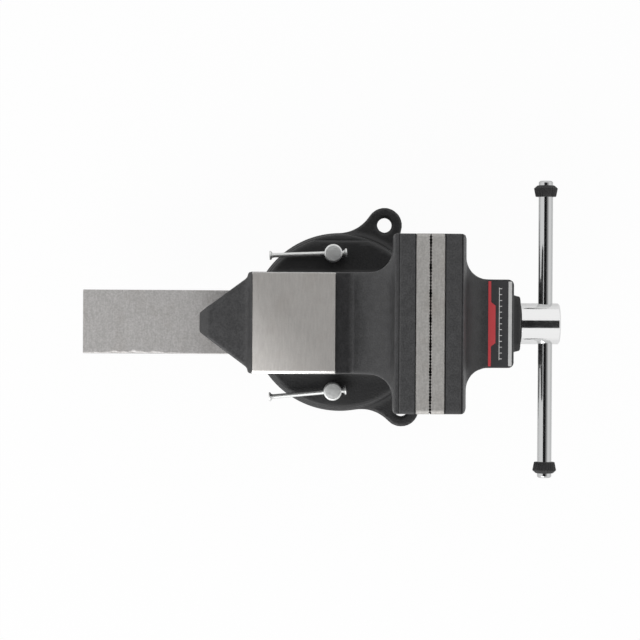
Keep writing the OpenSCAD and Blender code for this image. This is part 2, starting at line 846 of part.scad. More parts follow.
// How far a nut bolt reaches into the nut, below the spindle
nut_bolt_grip = axis_z - bar_low - spindle_d / 2 - 2 * cut;

module nut_bolts() {
    seat_z = base_h + seat + nut_bolt_head_h;
    tip_z = bar_low - slide_play + nut_bolt_grip - seat;
    color(steel) at_nut_bolts() union() {
        translate([0, 0, base_h + seat]) cylinder(h = nut_bolt_head_h, d = nut_bolt_head_d);
        translate([0, 0, seat_z - cut]) cylinder(h = tip_z - seat_z + cut, d = nut_bolt_d);
    }
}

// Handle, along Y through the spindle head, with a stop ring near each end
module handle_bar() {
    color(chrome) translate([handle_x, handle_offset + handle_l / 2, axis_z])
        rotate([0, 0, -90]) bevelled_bar(handle_l, handle_d / 2, edge);
}

module stop_ring(side) {
    r = ring_d / 2;
    color(black) translate([handle_x, handle_offset, axis_z]) rotate([0, 0, side * 90])
        translate([handle_l / 2 - handle_tip - ring_l, 0, 0]) difference() {
            turned_x([
                [0, 0], [0, ring_inner_d / 2 - edge], [edge, ring_inner_d / 2],
                [ring_l - 2 * edge - head_bevel, r], [ring_l - head_bevel, r],
                [ring_l, r - head_bevel], [ring_l, 0]
            ]);
            bore_x(-cut, ring_l + cut, handle_d / 2 + run);
        }
}

module upper_stop_ring() {
    stop_ring(1);
}

module lower_stop_ring() {
    stop_ring(-1);
}

// Swivel lock: bolt with a cross-drilled head, its bar, and the nut in the ring slot
lock_seat = swivel_z;
lock_bar_z = lock_seat + lock_head_h / 2;

module lock_bolt(side) {
    r = lock_head_d / 2;
    tip_z = room_top - room_h + seat;
    turn = side > 0 ? right_bar_turn : left_bar_turn;
    color(zinc) at_lock(side) difference() {
        union() {
            turned_z([
                [lock_seat, 0], [lock_seat, r - edge / 2], [lock_seat + edge / 2, r],
                [lock_seat + lock_head_h - edge, r], [lock_seat + lock_head_h, r - edge],
                [lock_seat + lock_head_h, 0]
            ]);
            translate([0, 0, tip_z]) cylinder(h = lock_seat - tip_z + cut, d = lock_d);
        }
        translate([0, 0, lock_bar_z]) rotate([0, 0, turn]) rotate([0, 90, 0])
            cylinder(h = lock_head_d + 2 * cut, r = lock_bar_d / 2 + 2 * run, center = true);
    }
}

// The bar is pushed through until its near end meets the head
module lock_bar(side) {
    r = lock_bar_d / 2;
    end_r = lock_end_d / 2;
    near = lock_head_d / 2 + loose;
    far = near + lock_end_l - lock_bar_l;
    rim = lock_end_l / 2;
    turn = side > 0 ? right_bar_turn : left_bar_turn;
    color(zinc) at_lock(side) translate([0, 0, lock_bar_z]) rotate([0, 0, turn]) turned_x([
        [far, 0], [far, end_r - edge / 2], [far + edge / 2, end_r], [far + rim, end_r],
        [far + lock_end_l, r], [near, r], [near + rim, end_r],
        [near + lock_end_l - edge / 2, end_r], [near + lock_end_l, end_r - edge / 2],
        [near + lock_end_l, 0]
    ]);
}

module slot_nut(side) {
    color(steel) at_lock(side) rotate([0, 0, side * lock_angle])
        translate([0, 0, room_top - seat - slot_nut_h]) difference() {
            translate([-slot_nut_w / 2, -slot_nut_l / 2, 0]) cube([slot_nut_w, slot_nut_l, slot_nut_h]);
            translate([0, 0, -cut]) cylinder(h = slot_nut_h + 2 * cut, d = lock_d + 2 * run);
        }
}

module right_lock_bolt() {
    lock_bolt(1);
}

module right_lock_bar() {
    lock_bar(1);
}

module right_slot_nut() {
    slot_nut(1);
}

module left_lock_bolt() {
    lock_bolt(-1);
}

module left_lock_bar() {
    lock_bar(-1);
}

module left_slot_nut() {
    slot_nut(-1);
}

// Label: a thin plate with round corners on the flat of the neck
module label() {
    x = label_l / 2 - label_round;
    y = label_w / 2 - label_round;
    outline = concat(
        arc([x, y], label_round, 0, 90), arc([-x, y], label_round, 90, 180),
        arc([-x, -y], label_round, 180, 270), arc([x, -y], label_round, 270, 360)
    );
    color(black) translate([neck_x - neck_edge - label_l / 2, 0, neck_top])
        linear_extrude(label_t) polygon(outline);
}

base();
body();
moving_jaw();
fixed_jaw_plate();
moving_jaw_plate();
fixed_plate_screws();
moving_plate_screws();
spindle();
thrust_washer();
spring_washer();
take_up_spring();
retaining_collar();
collar_pin();
spindle_nut();
nut_bolts();
handle_bar();
upper_stop_ring();
lower_stop_ring();
right_lock_bolt();
right_lock_bar();
right_slot_nut();
left_lock_bolt();
left_lock_bar();
left_slot_nut();
pivot_bolt();
pivot_washer();
label();
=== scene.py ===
# %% [markdown]
# # A swivel bench vise
#
# A bench vise is a few heavy castings with ground, turned and plated parts between them.
# The CAD model already holds every piece at its real size and place. This script dresses it:
# castings get the soft edges that a sand mould leaves, steel gets its grinding marks, and the
# screw gets a true thread. Each piece is written in millimetres and stays where CAD has it.

import json

import bpy
import numpy as np
import openvdb
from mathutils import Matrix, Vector


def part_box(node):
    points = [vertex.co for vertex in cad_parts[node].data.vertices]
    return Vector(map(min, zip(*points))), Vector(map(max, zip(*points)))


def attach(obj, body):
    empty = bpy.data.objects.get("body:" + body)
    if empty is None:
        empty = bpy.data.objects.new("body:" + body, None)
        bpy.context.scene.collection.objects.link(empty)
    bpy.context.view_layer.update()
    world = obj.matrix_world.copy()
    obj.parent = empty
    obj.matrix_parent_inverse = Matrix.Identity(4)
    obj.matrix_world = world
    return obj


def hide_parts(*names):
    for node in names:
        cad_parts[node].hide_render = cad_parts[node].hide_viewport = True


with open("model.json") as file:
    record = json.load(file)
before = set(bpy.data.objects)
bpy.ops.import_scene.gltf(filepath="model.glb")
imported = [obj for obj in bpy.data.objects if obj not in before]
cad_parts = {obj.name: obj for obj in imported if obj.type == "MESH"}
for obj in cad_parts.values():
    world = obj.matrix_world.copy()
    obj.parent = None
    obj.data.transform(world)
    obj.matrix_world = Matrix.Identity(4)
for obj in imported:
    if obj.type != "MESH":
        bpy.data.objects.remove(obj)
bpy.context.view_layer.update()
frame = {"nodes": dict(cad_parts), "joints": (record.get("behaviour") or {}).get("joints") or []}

# %% [markdown]
# ## Measuring from the frame
#
# The box of a CAD node, in millimetres, says where its piece begins and ends, so a change of
# its size in the CAD model carries through to the looks. Details inside a box are typed here.

# %% Sizes of the CAD nodes
MM = 0.001


def box_mm(node):
    """The lowest and the highest corner of a CAD node, in millimetres."""
    low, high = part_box(node)
    return np.array(low) / MM, np.array(high) / MM


handle_low, handle_high = box_mm("handle_bar")
spindle_low, spindle_high = box_mm("spindle")
fixed_low, fixed_high = box_mm("fixed_jaw_plate")
moving_low, moving_high = box_mm("moving_jaw_plate")
jaw_low = box_mm("moving_jaw")[0]
body_low = box_mm("body")[0]
axis_z = (spindle_low[2] + spindle_high[2]) / 2
print(f"jaw plates meet at x = {(fixed_high[0] + moving_low[0]) / 2:.1f} mm")

# %% [markdown]
# ## The camera
#
# The photograph looks straight down from about two metres with a long lens. The place and
# the small tilt were found by matching known corners of the model with the same corners in
# the picture. A lens of 123 mm on a 36 mm sensor gives the same narrow view.

# %% Camera
camera_place = np.array([-18.1, 12.8, 2000.0])
camera_tilt = np.radians([-0.319, -0.002, 0.327])
lens, sensor = 122.9, 36
sight = 20

camera_data = bpy.data.cameras.new("camera")
camera_data.lens = lens
camera_data.sensor_width = sensor
camera_data.clip_end = sight
camera = bpy.data.objects.new("camera", camera_data)
camera.location = camera_place * MM
camera.rotation_euler = camera_tilt
bpy.context.scene.collection.objects.link(camera)
bpy.context.scene.camera = camera
bpy.context.scene.view_settings.view_transform = "Standard"
print("camera at", tuple(camera.location))

# %% [markdown]
# ## Two small helpers for materials
#
# Colours are written as the hex values that a screen shows, and light adds up in linear
# values, so one function converts them. A second one adds a node with its settings and links.

# %% Colours and nodes


def linear(hex_code):
    """A screen colour as linear light: up to 0.04045 a value is divided by 12.92, and above it
    0.055 is added, the sum divided by 1.055 and raised to the power 2.4."""
    value = np.array([int(hex_code[i:i + 2], 16) for i in (1, 3, 5)]) / 255
    light = np.where(value <= 0.04045, value / 12.92, ((value + 0.055) / 1.055) ** 2.4)
    return (*light, 1.0)


def add(tree, kind, inputs=None, **settings):
    """Adds a node and returns its outputs. Kind is its type without the word ShaderNode, and
    settings are its own properties. Inputs are its sockets by name or number: an output of
    another node is linked, a hex code turned to linear light, and a number set as it is."""
    made = tree.nodes.new("ShaderNode" + kind)
    for name, value in settings.items():
        setattr(made, name, value)
    for name, value in (inputs or {}).items():
        if isinstance(value, bpy.types.NodeSocket):
            tree.links.new(value, made.inputs[name])
        else:
            made.inputs[name].default_value = linear(value) if isinstance(value, str) else value
    return made.outputs


def blank_material(name):
    """A new material with an empty node tree."""
    material = bpy.data.materials.new(name)
    material.use_nodes = True
    material.node_tree.nodes.clear()
    return material, material.node_tree


print("a screen's middle grey is", round(linear("#808080")[0], 3), "as linear light")

# %% [markdown]
# ## The floor, the light and a dark card
#
# The picture was taken on a bright white table, in soft light from all round and a little
# more from the near left, which leaves the far side of the castings dark. Polished metal shows
# what hangs above it: the dark band along every chrome part is the dark space over the camera.
# A grey card does the same here, and fades out beyond the handle, which gives the chrome its
# soft right side. The floor is white to the camera, a little greyer in reflections, and still
# takes the object's shadow.

# %% Floor
floor_half = 6.0
floor_colour = "#e9e9e9"
floor_glow = 0.955
floor_mirror = 0.42


def sheet_of(name, x, y, z):
    """A flat rectangle: x and y are (from, to) in metres."""
    mesh = bpy.data.meshes.new(name)
    mesh.from_pydata([(x[0], y[0], z), (x[1], y[0], z), (x[1], y[1], z), (x[0], y[1], z)],
                     [], [(0, 1, 2, 3)])
    made = bpy.data.objects.new(name, mesh)
    bpy.context.scene.collection.objects.link(made)
    return made


def seen_white(tree, mirror=1.0):
    """1 where a ray comes from the camera or glass, and mirror where it comes from a metal."""
    path = add(tree, "LightPath")
    glossy = add(tree, "Math", {0: path["Is Glossy Ray"], 1: mirror}, operation="MULTIPLY")
    either = add(tree, "Math", {0: path["Is Camera Ray"], 1: glossy[0]}, operation="MAXIMUM")
    return add(tree, "Math", {0: either[0], 1: path["Is Transmission Ray"]},
               operation="MAXIMUM")[0]


floor = sheet_of("floor", (-floor_half, floor_half), (-floor_half, floor_half), 0.0)
material, tree = blank_material("white_table")
table = add(tree, "BsdfDiffuse", {"Color": floor_colour})
glow = add(tree, "Emission", {"Color": "#ffffff"})
share = add(tree, "Math", {0: seen_white(tree, floor_mirror), 1: floor_glow},
            operation="MULTIPLY")
mixed = add(tree, "MixShader", {0: share[0], 1: table[0], 2: glow[0]})
add(tree, "OutputMaterial", {"Surface": mixed[0]})
floor.data.materials.append(material)
print("the floor is", 2 * floor_half, "m wide")

# %% Dark card above the camera
card_x = (-1.34, 3.3)
card_y = (-1.09, 0.87)
card_z = 2.6
card_fade = (0.40, 3.2)
card_colour = "#202021"

card = sheet_of("dark_card", card_x, card_y, card_z)
material, tree = blank_material("grey_card")
felt = add(tree, "BsdfDiffuse", {"Color": card_colour})
clear = add(tree, "BsdfTransparent")
place = add(tree, "TexCoord")
across = add(tree, "SeparateXYZ", {"Vector": place["Object"]})
fade = add(tree, "MapRange", {"Value": across["X"], "From Min": card_fade[0],
                              "From Max": card_fade[1]})
soft_edge = add(tree, "MixShader", {0: fade[0], 1: felt[0], 2: clear[0]})
add(tree, "OutputMaterial", {"Surface": soft_edge[0]})
card.data.materials.append(material)
print("the card hangs", card_z, "m up and fades out from x =", card_fade[0], "m")

# %% World and soft lamp
sky_level = 0.85
key_place, key_aim = (-1.0, -1.7, 1.6), (0, 0, 0.08)
key_size = 2.0
key_power = 38

world = bpy.data.worlds.new("studio")
bpy.context.scene.world = world
world.use_nodes = True
world.node_tree.nodes.clear()
tree = world.node_tree
level = add(tree, "MapRange", {"Value": seen_white(tree), "To Min": sky_level})
background = add(tree, "Background", {"Color": "#ffffff", "Strength": level[0]})
add(tree, "OutputWorld", {"Surface": background[0]})

key_light = bpy.data.lights.new("key", "AREA")
key_light.size = key_size
key_light.energy = key_power
key = bpy.data.objects.new("key", key_light)
key.location = key_place
direction = np.array(key_aim) - np.array(key_place)
key.rotation_euler = Vector(direction).to_track_quat("-Z", "Y").to_euler()
bpy.context.scene.collection.objects.link(key)
print("sky", sky_level, "and a lamp of", key_power, "W,", key_size, "m square")

# %% [markdown]
# ## Painted grey iron
#
# The base, the body and the moving jaw are sand castings under a coat of dark grey enamel.
# The sand leaves a fine pebbled skin, which the enamel softens: grains of about a millimetre
# lie over slow swells of the mould, and the gloss is a broad satin. The nose round the spindle
# is black. Low parts are painted darker too: this is painted shade for the shadow that the
# tall body and jaws cast on the swivel plate and the base. Most values of a noise lie between
# noise_low and noise_high, so each noise is stretched from there to the range that the finish
# needs.

# %% Cast iron under enamel
noise_low, noise_high = 0.35, 0.65
most = {"From Min": noise_low, "From Max": noise_high}
# The third colour is painted shade for the low parts. Black is the nose and the sand's dark
# specks.
enamel_dark, enamel_pale, painted_low_shade, black = "#373738", "#3f3f40", "#222223", "#161617"
sand_mm, mould_mm, patch_mm = 1.3, 16, 7
sand_depth, mould_depth = 0.22, 0.25
# Between these heights, in millimetres, painted shade darkens the enamel downwards.
painted_shade_z = (52, 80)
nose_l, nose_fade = 7, 0.3


def per(size_mm):
    """How often a pattern of this size repeats in a metre."""
    return 1 / (size_mm * MM)


def coats(tree, colour, layers):
    """Lays colours over each other. In each layer (value, start, end, low, high, over) the share
    of the colour over goes from low to high as the value goes from start to end."""
    for value, start, end, low, high, over in layers:
        share = add(tree, "MapRange", {"Value": value, "From Min": start, "From Max": end,
                                       "To Min": low, "To Max": high})
        colour = add(tree, "Mix", {0: share[0], 6: colour, 7: over}, data_type="RGBA")[2]
    return colour


def painted_iron(name, nose_x=None):
    """Dark enamel on sand-cast iron: satin and pebbled. Going down between two heights it turns
    darker, which is painted shade, and beyond nose_x millimetres along X it is black."""
    material, tree = blank_material(name)
    place = add(tree, "TexCoord")["Object"]
    grain, swell, patch = [
        add(tree, "TexNoise", {"Vector": place, "Scale": per(size), "Detail": detail})[0]
        for size, detail in ((sand_mm, 5), (mould_mm, 2), (patch_mm, 3))]
    along = add(tree, "SeparateXYZ", {"Vector": place})
    # The second layer is painted shade: the enamel turns darker towards the bottom.
    layers = [(patch, noise_low, noise_high, 0, 1, enamel_pale),
              (along["Z"], painted_shade_z[0] * MM, painted_shade_z[1] * MM, 1, 0, painted_low_shade)]
    if nose_x is not None:
        layers.append((along["X"], nose_x * MM, (nose_x + nose_fade) * MM, 0, 1, black))
    layers.append((grain, 0.4, 0.6, 0.4, 0, black))
    mould = add(tree, "Bump", {"Height": swell, "Distance": mould_depth * MM})
    sand = add(tree, "Bump", {"Height": grain, "Distance": sand_depth * MM, "Normal": mould[0]})
    satin = add(tree, "MapRange", {**most, "Value": grain, "To Min": 0.42, "To Max": 0.58})
    shader = add(tree, "BsdfPrincipled", {"Base Color": coats(tree, enamel_dark, layers),
                                          "Roughness": satin[0], "Normal": sand[0]})
    add(tree, "OutputMaterial", {"Surface": shader[0]})
    return material


enamel = painted_iron("enamelled_cast_iron")
jaw_enamel = painted_iron("enamelled_iron_black_nose", box_mm("thrust_washer")[1][0] - nose_l)
print("made", enamel.name, jaw_enamel.name)

# %% [markdown]
# ## Ground steel
#
# A surface grinder leaves straight scratches, side by side, far finer than a picture of the
# whole vise can show. They are drawn here 0.3 mm apart and about 15 mm long. They spread a
# reflection so widely that a ground face looks a light grey even under a dark ceiling. The
# wheel's grit adds a fine mottle, and handling leaves faint brownish stains.

# %% Ground steel
scratch_mm, scratch_l, scratch_depth = 0.3, 15, 0.004
band_mm, band_l = 1.2, 9.6
grit_mm, stain_mm = 1.5, 20


def ground_steel(name, colour, stained=0.12, rough=0.56, mottle=0.4):
    """Bare steel with grinding scratches along Y. Stained and mottle are the most that stains and
    grit change the colour."""
    material, tree = blank_material(name)
    place = add(tree, "TexCoord")["Object"]
    lines = add(tree, "Mapping", {"Vector": place, "Scale": (1, scratch_mm / scratch_l, 1)})[0]
    bands = add(tree, "Mapping", {"Vector": place, "Scale": (1, band_mm / band_l, 1)})[0]
    scratch, band, grit, blotch = [
        add(tree, "TexNoise", {"Vector": vector, "Scale": per(size), "Detail": detail})[0]
        for vector, size, detail in ((lines, scratch_mm, 3), (bands, band_mm, 3),
                                     (place, grit_mm, 4), (place, stain_mm, 4))]
    tone = coats(tree, colour, [(band, noise_low, noise_high, 0, 0.2, "#8a8885"),
                                (grit, noise_low, noise_high, 0, mottle, "#8e8c89"),
                                (blotch, 0.52, 0.75, 0, stained, "#85796c")])
    groove = add(tree, "Bump", {"Height": scratch, "Distance": scratch_depth * MM})
    dull = add(tree, "MapRange", {**most, "Value": scratch, "To Min": rough - 0.04,
                                  "To Max": rough + 0.05})
    shader = add(tree, "BsdfPrincipled", {"Base Color": tone, "Metallic": 1.0,
                                          "Normal": groove[0], "Roughness": dull[0]})
    add(tree, "OutputMaterial", {"Surface": shader[0]})
    return material


anvil_steel = ground_steel("ground_anvil_face", "#b4b1ae", mottle=0.12)
bar_steel = ground_steel("ground_slide_bar", "#c6c4c3", stained=0.16)
plate_steel = ground_steel("ground_jaw_plate", "#bebcb9", stained=0.2)
bright_steel = ground_steel("stoned_steel_edge", "#dad9d7", stained=0.0, rough=0.24)
tooth_steel = ground_steel("hardened_steel_teeth", "#4c4946", rough=0.5)
print("made", anvil_steel.name, bar_steel.name, plate_steel.name, bright_steel.name,
      tooth_steel.name)

# %% [markdown]
# ## Chrome and zinc
#
# The handle is polished and chrome plated: nearly a mirror, a little hazy from use. The
# spindle head was plated over its turning marks, so its reflections have soft edges, and its
# colour is set brighter than the handle's chrome as a painted highlight. The lock bolts are
# zinc plated, a duller and slightly cloudy grey. The screws are blackened against rust.

# %% Plated metals
mark_mm = 0.8


def plated(name, colour, rough, cloud_mm, cloud=0.06, depth=0.0):
    """Plated metal: one colour, a roughness that clouds over patches of cloud_mm, fine relief."""
    material, tree = blank_material(name)
    place = add(tree, "TexCoord")["Object"]
    haze = add(tree, "TexNoise", {"Vector": place, "Scale": per(cloud_mm), "Detail": 3})[0]
    gloss = add(tree, "MapRange", {**most, "Value": haze, "To Min": rough,
                                   "To Max": rough + cloud})
    inputs = {"Base Color": colour, "Metallic": 1.0, "Roughness": gloss[0]}
    if depth:
        marks = add(tree, "TexNoise", {"Vector": place, "Scale": per(mark_mm), "Detail": 4})[0]
        inputs["Normal"] = add(tree, "Bump", {"Height": marks, "Distance": depth * MM})[0]
    shader = add(tree, "BsdfPrincipled", inputs)
    add(tree, "OutputMaterial", {"Surface": shader[0]})
    return material


chrome = plated("polished_chrome", "#c6c7c7", 0.08, 9, 0.05)
# A brighter copy of the chrome: painted highlight for the head's bright reflections.
painted_bright_chrome = plated("chrome_brightened_for_painted_highlight", "#ececec", 0.09, 9, 0.03)
zinc = plated("dull_zinc_plating", "#e2e3e2", 0.42, 2.2, 0.12, depth=0.02)
blackened = plated("blackened_screw_steel", "#3a3a3c", 0.34, 2.0)
print("made", chrome.name, painted_bright_chrome.name, zinc.name, blackened.name)

# %% [markdown]
# ## Turned steel and black plastic
#
# The thread and the parts inside are bare turned steel with a film of oil: fine tool rings
# run round them, and the oil browns in patches. The stop rings are moulded in black plastic
# with the fine pits of a spark-eroded mould.

# %% Turned steel and plastic
ring_mm, ring_l, ring_depth = 0.4, 24, 0.01
film_mm = 6
pit_mm, pit_depth = 0.6, 0.04


def turned_steel(name, colour, oil):
    """Lathe-turned steel: tool rings round the X axis under a patchy film of oil."""
    material, tree = blank_material(name)
    place = add(tree, "TexCoord")["Object"]
    stretch = (1, ring_mm / ring_l, ring_mm / ring_l)
    rings = add(tree, "Mapping", {"Vector": place, "Scale": stretch})[0]
    ring = add(tree, "TexNoise", {"Vector": rings, "Scale": per(ring_mm), "Detail": 2})[0]
    film = add(tree, "TexNoise", {"Vector": place, "Scale": per(film_mm), "Detail": 4})[0]
    tone = coats(tree, colour, [(film, noise_low, noise_high, 0, 0.7, oil)])
    tooled = add(tree, "Bump", {"Height": ring, "Distance": ring_depth * MM})
    gloss = add(tree, "MapRange", {**most, "Value": film, "To Min": 0.28, "To Max": 0.45})
    shader = add(tree, "BsdfPrincipled", {"Base Color": tone, "Metallic": 1.0,
                                          "Normal": tooled[0], "Roughness": gloss[0]})
    add(tree, "OutputMaterial", {"Surface": shader[0]})
    return material


def moulded_plastic(name, colour):
    """Black moulded plastic: soft sheen over a fine spark-eroded texture."""
    material, tree = blank_material(name)
    place = add(tree, "TexCoord")["Object"]
    grain = add(tree, "TexNoise", {"Vector": place, "Scale": per(pit_mm), "Detail": 3})[0]
    pits = add(tree, "Bump", {"Height": grain, "Distance": pit_depth * MM})
    sheen = add(tree, "MapRange", {**most, "Value": grain, "To Min": 0.4, "To Max": 0.6})
    shader = add(tree, "BsdfPrincipled", {"Base Color": colour, "Normal": pits[0],
                                          "Roughness": sheen[0]})
    add(tree, "OutputMaterial", {"Surface": shader[0]})
    return material


oiled_steel = turned_steel("oiled_turned_steel", "#8d8c8a", "#574c3f")
black_plastic = moulded_plastic("moulded_black_plastic", "#151516")
print("made", oiled_steel.name, black_plastic.name)

# %% [markdown]
# ## From arrays to meshes
#
# Most pieces are surfaces with two parameters: one runs along a profile and one round or
# along the piece. numpy works out all points at once. Corners that catch the light are eased.

# %% Outlines and turned profiles


def eased(outline, radius, steps=4, closed=False):
    """Rounds each corner C of an outline, or of many outlines at once. A and B lie radius before
    and after C, and the point at s from 0 to 1 is (1 - s)^2 A + 2 s (1 - s) C + s^2 B."""
    outline = np.asarray(outline, float)
    to_before = np.roll(outline, 1, -2) - outline
    to_after = np.roll(outline, -1, -2) - outline
    reach = np.broadcast_to(np.asarray(radius, float), outline.shape[:-1])[..., None]
    length_before = np.linalg.norm(to_before, axis=-1, keepdims=True) + 1e-9
    length_after = np.linalg.norm(to_after, axis=-1, keepdims=True) + 1e-9
    a = (outline + to_before * np.minimum(reach / length_before, 0.5))[..., None, :]
    b = (outline + to_after * np.minimum(reach / length_after, 0.5))[..., None, :]
    s = np.linspace(0, 1, steps + 1)[:, None]
    curve = (1 - s) ** 2 * a + 2 * s * (1 - s) * outline[..., None, :] + s ** 2 * b
    if not closed:
        inner = curve[1:-1].reshape(-1, outline.shape[-1])
        return np.vstack([outline[:1], inner, outline[-1:]])
    return curve.reshape(*outline.shape[:-2], -1, outline.shape[-1])


def angles(sides):
    """The angles of points spread evenly round a circle."""
    return np.linspace(0, 2 * np.pi, sides, endpoint=False)


def around_x(along, r, t):
    """The points (along, r cos t, r sin t): at distance r from the X axis and angle t round it."""
    return np.stack(np.broadcast_arrays(along, r * np.cos(t), r * np.sin(t)), -1)


def round_x(profile, sides=96):
    """Turns a profile of points (along, r) round the X axis."""
    along, r = np.asarray(profile, float).T[..., None]
    return around_x(along, r, angles(sides))


def place_along(points, axis, origin):
    """Turns a shape made along X so that it runs along another axis, and moves its zero there."""
    return np.roll(points, axis, -1) + np.asarray(origin, float)


square = [(0, 0), (1, 0), (1, 1), (0, 1)]
print("a square with eased corners has", len(eased(square, 0.1, 4, True)), "points")

# %% [markdown]
# ## Faces and solids
#
# A grid of points becomes a closed solid when its rows are joined by four-sided faces and its
# ends are capped. Points and faces go into the mesh as whole arrays. A solid whose faces look
# inwards has a negative volume, so its faces are turned round first.

# %% Solids


def bands(rows):
    """Four-sided faces between neighbouring rows of point numbers that run all the way round."""
    here, there = rows[:-1], rows[1:]
    return np.stack([here, np.roll(here, -1, 1), np.roll(there, -1, 1), there], -1).reshape(-1, 4)


def skin(grid, closed_u=False):
    """Faces over a grid of points whose second parameter runs all the way round. The first one
    may close too, and otherwise a flat face caps each end."""
    number = np.arange(grid[..., 0].size).reshape(grid.shape[:2])
    if closed_u:
        faces = [bands(np.vstack([number, number[:1]]))]
    else:
        faces = [bands(number), number[0][::-1][None], number[-1][None]]
    return grid.reshape(-1, 3), faces


def turned(profile, axis, origin, sides=96):
    """A solid turned from a profile round an axis, 0 to 2 for X to Z, that passes origin."""
    points, faces = skin(round_x(profile, sides))
    return place_along(points, axis, origin), faces


def block(low, high):
    """A box from its lowest to its highest corner."""
    grid = np.stack(np.meshgrid(*zip(low, high), indexing="ij"), -1).reshape(-1, 3)
    sides = np.array([[0, 1, 3, 2], [4, 6, 7, 5], [0, 4, 5, 1], [2, 3, 7, 6], [0, 2, 6, 4],
                      [1, 5, 7, 3]])
    return grid, [sides]


def several(*shapes):
    """Several (points, faces) shapes as one."""
    points, faces, start = [], [], 0
    for shape_points, shape_faces in shapes:
        points.append(shape_points)
        faces += [f + start for f in shape_faces]
        start += len(shape_points)
    return np.vstack(points), faces


def volume(points, faces):
    """The space inside: a sixth of the sum of a . (b x c) over the triangles of every face."""
    total = 0.0
    for f in faces:
        for k in range(1, f.shape[1] - 1):
            a, b, c = points[f[:, 0]], points[f[:, k]], points[f[:, k + 1]]
            total += np.einsum("ij,ij->", a, np.cross(b, c))
    return total / 6


def shape(name, points, faces):
    """An object at the origin whose mesh has these points, in millimetres, and these faces, as
    arrays of equal corner counts."""
    if volume(points, faces) < 0:
        faces = [f[:, ::-1] for f in faces]
    mesh = bpy.data.meshes.new(name)
    corners = np.concatenate([f.ravel() for f in faces]).astype(np.int32)
    counts = np.concatenate([np.full(len(f), f.shape[1]) for f in faces])
    mesh.vertices.add(len(points))
    mesh.vertices.foreach_set("co", (np.asarray(points) * MM).astype(np.float32).ravel())
    mesh.loops.add(len(corners))
    mesh.loops.foreach_set("vertex_index", corners)
    mesh.polygons.add(len(counts))
    mesh.polygons.foreach_set("loop_start", (np.cumsum(counts) - counts).astype(np.int32))
    mesh.update(calc_edges=True)
    mesh.validate()
    made = bpy.data.objects.new(name, mesh)
    bpy.context.scene.collection.objects.link(made)
    return made


print("a block of 2 x 3 x 4 mm holds", volume(*block((0, 0, 0), (2, 3, 4))), "cubic mm")

# %% [markdown]
# ## Cutting and dressing
#
# Holes and seats are cut with Blender's Boolean. Then a piece is dressed: smooth shading with
# creases where the surface turns sharply, its finish, the body that it rides on and the CAD
# node that it stands for.

# %% Cutting and dressing


def machine(made, *cutters):
    """Cuts shapes out of an object with Blender's Boolean, and keeps the result as its mesh."""
    tools = [shape("cutter", *cutter) for cutter in cutters]
    for tool in tools:
        step = made.modifiers.new("machining", "BOOLEAN")
        step.operation = "DIFFERENCE"
        step.solver = "MANIFOLD"
        step.object = tool
    ready = made.evaluated_get(bpy.context.evaluated_depsgraph_get())
    mesh = bpy.data.meshes.new_from_object(ready)
    made.modifiers.clear()
    mesh.materials.clear()
    made.data = mesh
    for tool in tools:
        bpy.data.objects.remove(tool)
    return made


def dress(made, materials, body, stands_for, crease=35):
    """Smooth shading with creases above an angle, materials, and the piece's place in the part."""
    mesh = made.data
    mesh.polygons.foreach_set("use_smooth", np.ones(len(mesh.polygons), bool))
    mesh.set_sharp_from_angle(angle=np.radians(crease))
    for material in materials:
        mesh.materials.append(material)
    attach(made, body)
    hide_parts(stands_for)
    print(f"{made.name}: {len(mesh.polygons)} faces on {body}")
    return made


def second_finish(made, chosen):
    """Gives the object's second material to the faces whose normals, as an array, the function
    chosen picks out."""
    mesh = made.data
    facing = np.empty(len(mesh.polygons) * 3, np.float32)
    mesh.polygons.foreach_get("normal", facing)
    picked = chosen(facing.reshape(-1, 3))
    mesh.polygons.foreach_set("material_index", picked.astype(np.int32))
    mesh.update()
    print(f"{made.name}: {picked.sum()} faces in {mesh.materials[1].name}")
    return made


def broken_edges(made, name, width_mm, angle):
    """A live bevel of two segments on the edges that turn by more than angle degrees."""
    bevel = made.modifiers.new(name, "BEVEL")
    bevel.width = width_mm * MM
    bevel.segments = 2
    bevel.limit_method = "ANGLE"
    bevel.angle_limit = np.radians(angle)
    return made


def flat_faces(made):
    """Weighs each corner's normal by the faces' areas, so a long face beside a small bevel keeps
    its own direction and reflects in one piece."""
    weigh = made.modifiers.new("face_weights", "WEIGHTED_NORMAL")
    weigh.keep_sharp = True
    return made


# %% [markdown]
# ## Castings
#
# A pattern maker gives every inner corner of a casting a fillet and breaks every outer edge,
# because sand can't hold a knife edge and sharp corners crack. A level set does all of them at
# once: it stores the distance to the surface, so the shape can grow and shrink. Growing by the
# fillet's radius, shrinking by both radii and growing by the edge's radius leaves what a
# rolling ball would: a fillet in every inner corner, a round on every outer edge, and the flat
# faces where they were. Machined faces are cut afterwards, so they keep their crisp edges.

# %% Rolling-ball skin
voxel = 0.8
thinning = 0.03


def shape_of(mesh):
    """A mesh as (points, faces) in millimetres, in triangles with their corners merged."""
    points = np.empty(len(mesh.vertices) * 3, np.float32)
    mesh.vertices.foreach_get("co", points)
    points = points.reshape(-1, 3) / MM
    mesh.calc_loop_triangles()
    corners = np.empty(len(mesh.loop_triangles) * 3, np.int32)
    mesh.loop_triangles.foreach_get("vertices", corners)
    _, first, same = np.unique(np.round(points * 1000).astype(np.int64), axis=0,
                               return_index=True, return_inverse=True)
    triangles = same.reshape(-1)[corners].reshape(-1, 3)
    flat = (triangles == np.roll(triangles, 1, 1)).any(1)
    return points[first], [triangles[~flat]]


